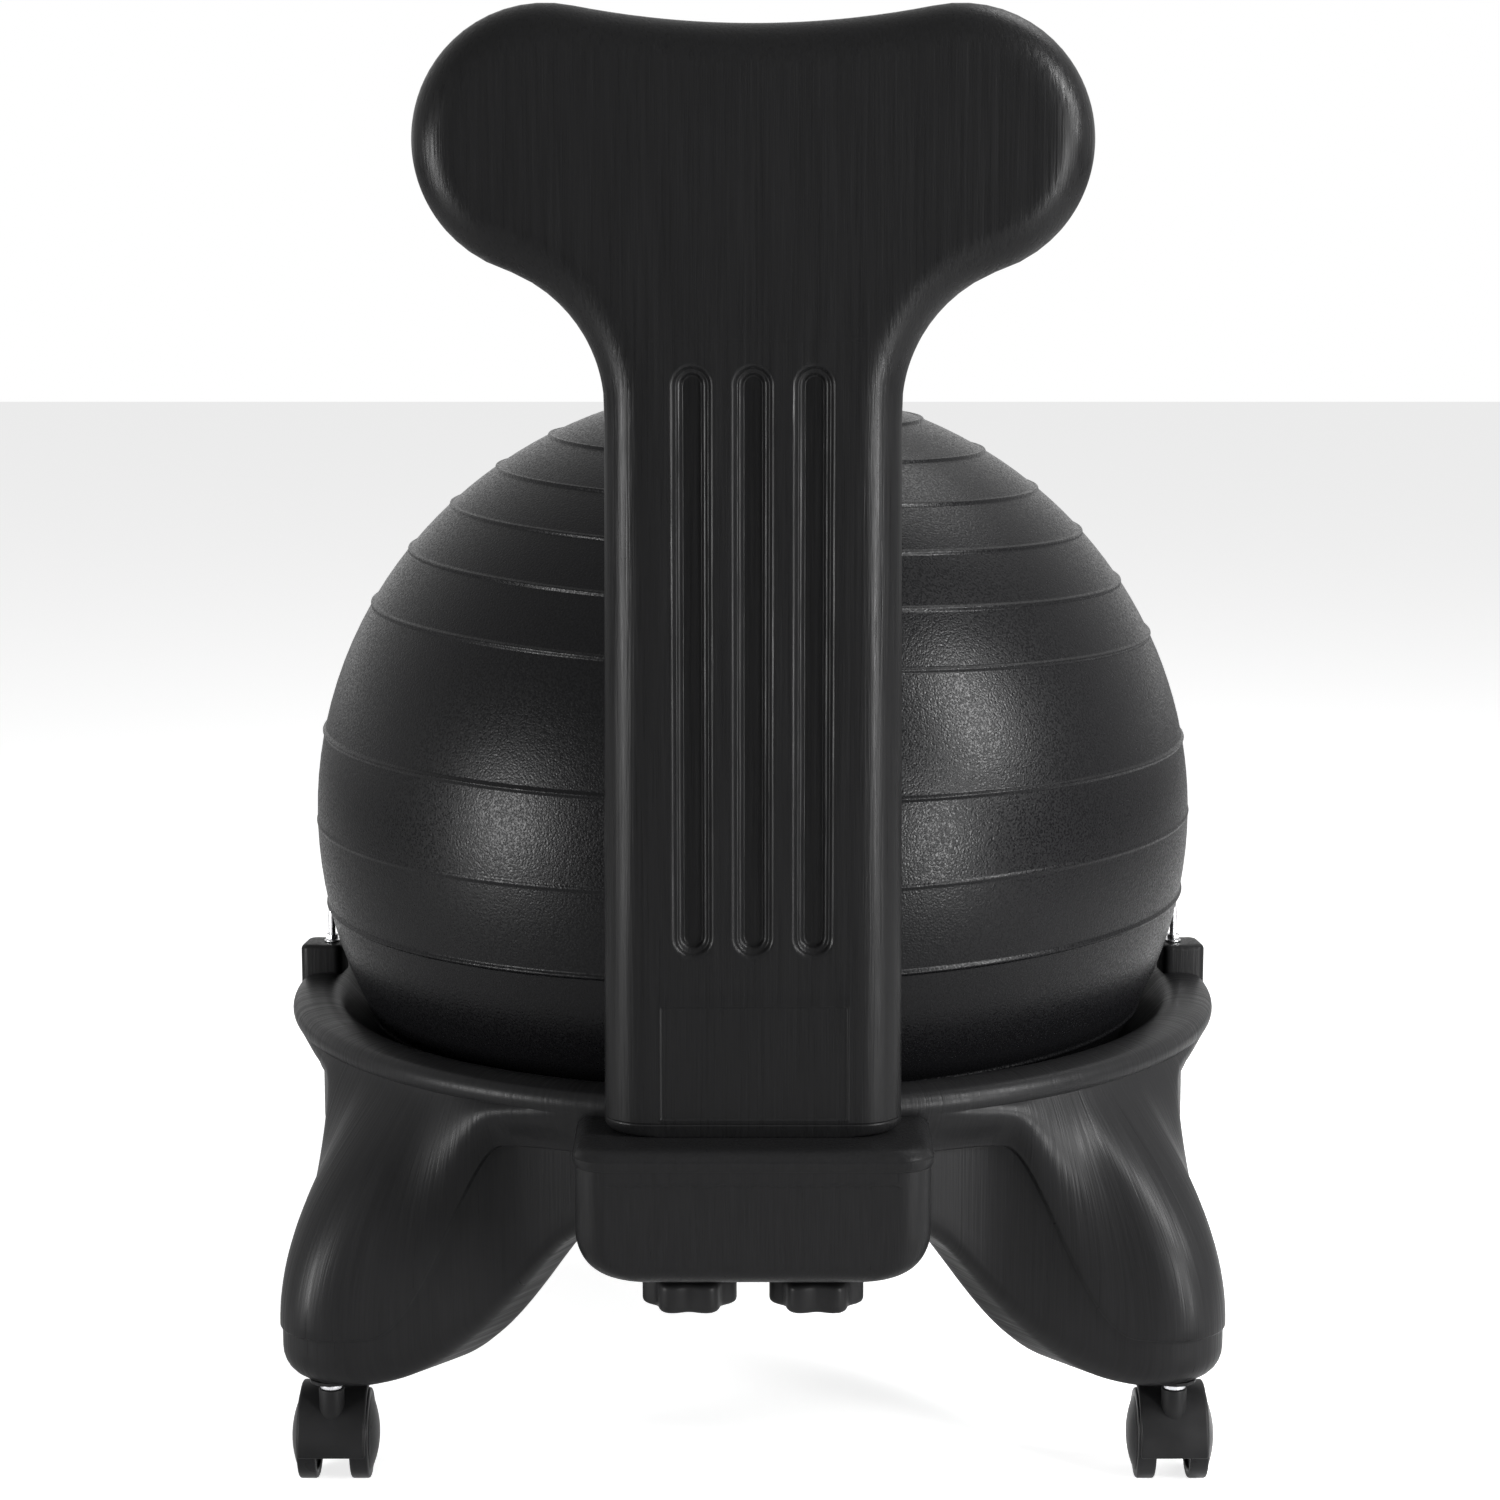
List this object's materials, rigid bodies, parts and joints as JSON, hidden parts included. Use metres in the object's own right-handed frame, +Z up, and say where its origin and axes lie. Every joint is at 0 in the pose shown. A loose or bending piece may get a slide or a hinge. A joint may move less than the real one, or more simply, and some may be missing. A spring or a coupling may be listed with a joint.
{
  "type": "balance ball chair",
  "caption": "Black balance ball chair: inflatable ridged ball held in a four-legged ring base on twin-wheel casters, with a T-shaped moulded backrest in a rear socket.",
  "frame": {"origin": "on the floor, under the middle of the whole chair's outer box", "axes": "+Z up, +Y the way the sitter faces, so the backrest stands on the -Y side, +X the sitter's right"},
  "size_m": [0.549, 0.6154, 0.8029],
  "materials": {
    "blown_plastic": "satin black blow-moulded plastic with fine drawn streaks",
    "ball_vinyl": "dark charcoal vinyl with a fine pebble grain",
    "moulded_plastic": "black injection-moulded plastic",
    "wheel_nylon": "black semi-gloss nylon",
    "bright_steel": "bright zinc-plated steel",
    "brass": "turned brass"
  },
  "bodies": {
    "base": {"base_shell": "blown_plastic", "backrest_shell": "blown_plastic", "backrest_insert_left": "brass", "backrest_insert_right": "brass", "support_bar": "bright_steel", "bar_washer_left": "bright_steel", "bar_washer_right": "bright_steel", "bar_nut_left": "bright_steel", "bar_nut_right": "bright_steel", "caster_sleeve_rear_left": "moulded_plastic", "caster_sleeve_rear_right": "moulded_plastic", "caster_sleeve_front_left": "moulded_plastic", "caster_sleeve_front_right": "moulded_plastic", "caster_stem_rear_left": "bright_steel", "caster_stem_rear_right": "bright_steel", "caster_stem_front_left": "bright_steel", "caster_stem_front_right": "bright_steel"},
    "ball": {"ball_shell": "ball_vinyl"},
    "ball_valve": {"valve_plug": "moulded_plastic"},
    "knob_travel_left": {"knob_washer_left": "bright_steel"},
    "knob_left": {"knob_left": "moulded_plastic", "knob_stud_left": "bright_steel"},
    "knob_travel_right": {"knob_washer_right": "bright_steel"},
    "knob_right": {"knob_right": "moulded_plastic", "knob_stud_right": "bright_steel"},
    "caster_rear_left": {"caster_body_rear_left": "moulded_plastic", "caster_axle_rear_left": "bright_steel"},
    "wheel_left_rear_left": {"wheel_left_rear_left": "wheel_nylon"},
    "wheel_right_rear_left": {"wheel_right_rear_left": "wheel_nylon"},
    "caster_rear_right": {"caster_body_rear_right": "moulded_plastic", "caster_axle_rear_right": "bright_steel"},
    "wheel_left_rear_right": {"wheel_left_rear_right": "wheel_nylon"},
    "wheel_right_rear_right": {"wheel_right_rear_right": "wheel_nylon"},
    "caster_front_left": {"caster_body_front_left": "moulded_plastic", "caster_axle_front_left": "bright_steel", "brake_pin_front_left": "bright_steel"},
    "wheel_left_front_left": {"wheel_left_front_left": "wheel_nylon"},
    "wheel_right_front_left": {"wheel_right_front_left": "wheel_nylon"},
    "brake_lever_front_left": {"brake_lever_front_left": "moulded_plastic"},
    "caster_front_right": {"caster_body_front_right": "moulded_plastic", "caster_axle_front_right": "bright_steel", "brake_pin_front_right": "bright_steel"},
    "wheel_left_front_right": {"wheel_left_front_right": "wheel_nylon"},
    "wheel_right_front_right": {"wheel_right_front_right": "wheel_nylon"},
    "brake_lever_front_right": {"brake_lever_front_right": "moulded_plastic"}
  },
  "joints": [
    {"name": "ball_lift", "type": "slide", "parent": "base", "child": "ball", "axis": [0, 0, 1], "range_m": [0, 0.3]},
    {"name": "valve_pull", "type": "slide", "parent": "ball", "child": "ball_valve", "axis": [0, 0, -1], "range_m": [0, 0.02]},
    {"name": "knob_travel_left", "type": "slide", "parent": "base", "child": "knob_travel_left", "axis": [0, 0, -1], "range_m": [0, 0.0121]},
    {"name": "knob_turn_left", "type": "hinge", "parent": "knob_travel_left", "child": "knob_left", "pos_m": [-0.0336, -0.26267, 0.14], "axis": [0, 0, -1], "range_deg": [0, 3456]},
    {"name": "knob_travel_right", "type": "slide", "parent": "base", "child": "knob_travel_right", "axis": [0, 0, -1], "range_m": [0, 0.0121]},
    {"name": "knob_turn_right", "type": "hinge", "parent": "knob_travel_right", "child": "knob_right", "pos_m": [0.0336, -0.26267, 0.14], "axis": [0, 0, -1], "range_deg": [0, 3456]},
    {"name": "swivel_rear_left", "type": "hinge", "parent": "base", "child": "caster_rear_left", "pos_m": [-0.232, -0.20067, 0.06], "axis": [0, 0, 1], "continuous": true},
    {"name": "roll_left_rear_left", "type": "hinge", "parent": "caster_rear_left", "child": "wheel_left_rear_left", "pos_m": [-0.232, -0.18267, 0.025], "axis": [1, 0, 0], "continuous": true},
    {"name": "roll_right_rear_left", "type": "hinge", "parent": "caster_rear_left", "child": "wheel_right_rear_left", "pos_m": [-0.232, -0.18267, 0.025], "axis": [1, 0, 0], "continuous": true},
    {"name": "swivel_rear_right", "type": "hinge", "parent": "base", "child": "caster_rear_right", "pos_m": [0.232, -0.20067, 0.06], "axis": [0, 0, 1], "continuous": true},
    {"name": "roll_left_rear_right", "type": "hinge", "parent": "caster_rear_right", "child": "wheel_left_rear_right", "pos_m": [0.232, -0.18267, 0.025], "axis": [1, 0, 0], "continuous": true},
    {"name": "roll_right_rear_right", "type": "hinge", "parent": "caster_rear_right", "child": "wheel_right_rear_right", "pos_m": [0.232, -0.18267, 0.025], "axis": [1, 0, 0], "continuous": true},
    {"name": "swivel_front_left", "type": "hinge", "parent": "base", "child": "caster_front_left", "pos_m": [-0.232, 0.24533, 0.06], "axis": [0, 0, 1], "continuous": true},
    {"name": "roll_left_front_left", "type": "hinge", "parent": "caster_front_left", "child": "wheel_left_front_left", "pos_m": [-0.232, 0.26333, 0.025], "axis": [1, 0, 0], "continuous": true},
    {"name": "roll_right_front_left", "type": "hinge", "parent": "caster_front_left", "child": "wheel_right_front_left", "pos_m": [-0.232, 0.26333, 0.025], "axis": [1, 0, 0], "continuous": true},
    {"name": "brake_front_left", "type": "hinge", "parent": "caster_front_left", "child": "brake_lever_front_left", "pos_m": [-0.232, 0.28776, 0.04778], "axis": [-1, 0, 0], "range_deg": [0, 20]},
    {"name": "swivel_front_right", "type": "hinge", "parent": "base", "child": "caster_front_right", "pos_m": [0.232, 0.24533, 0.06], "axis": [0, 0, 1], "continuous": true},
    {"name": "roll_left_front_right", "type": "hinge", "parent": "caster_front_right", "child": "wheel_left_front_right", "pos_m": [0.232, 0.26333, 0.025], "axis": [1, 0, 0], "continuous": true},
    {"name": "roll_right_front_right", "type": "hinge", "parent": "caster_front_right", "child": "wheel_right_front_right", "pos_m": [0.232, 0.26333, 0.025], "axis": [1, 0, 0], "continuous": true},
    {"name": "brake_front_right", "type": "hinge", "parent": "caster_front_right", "child": "brake_lever_front_right", "pos_m": [0.232, 0.28776, 0.04778], "axis": [-1, 0, 0], "range_deg": [0, 20]}
  ],
  "couplings": [
    {"joint": "knob_travel_left", "follows": "knob_turn_left", "m_per_rad": 0.00019894},
    {"joint": "knob_travel_right", "follows": "knob_turn_right", "m_per_rad": 0.00019894}
  ]
}
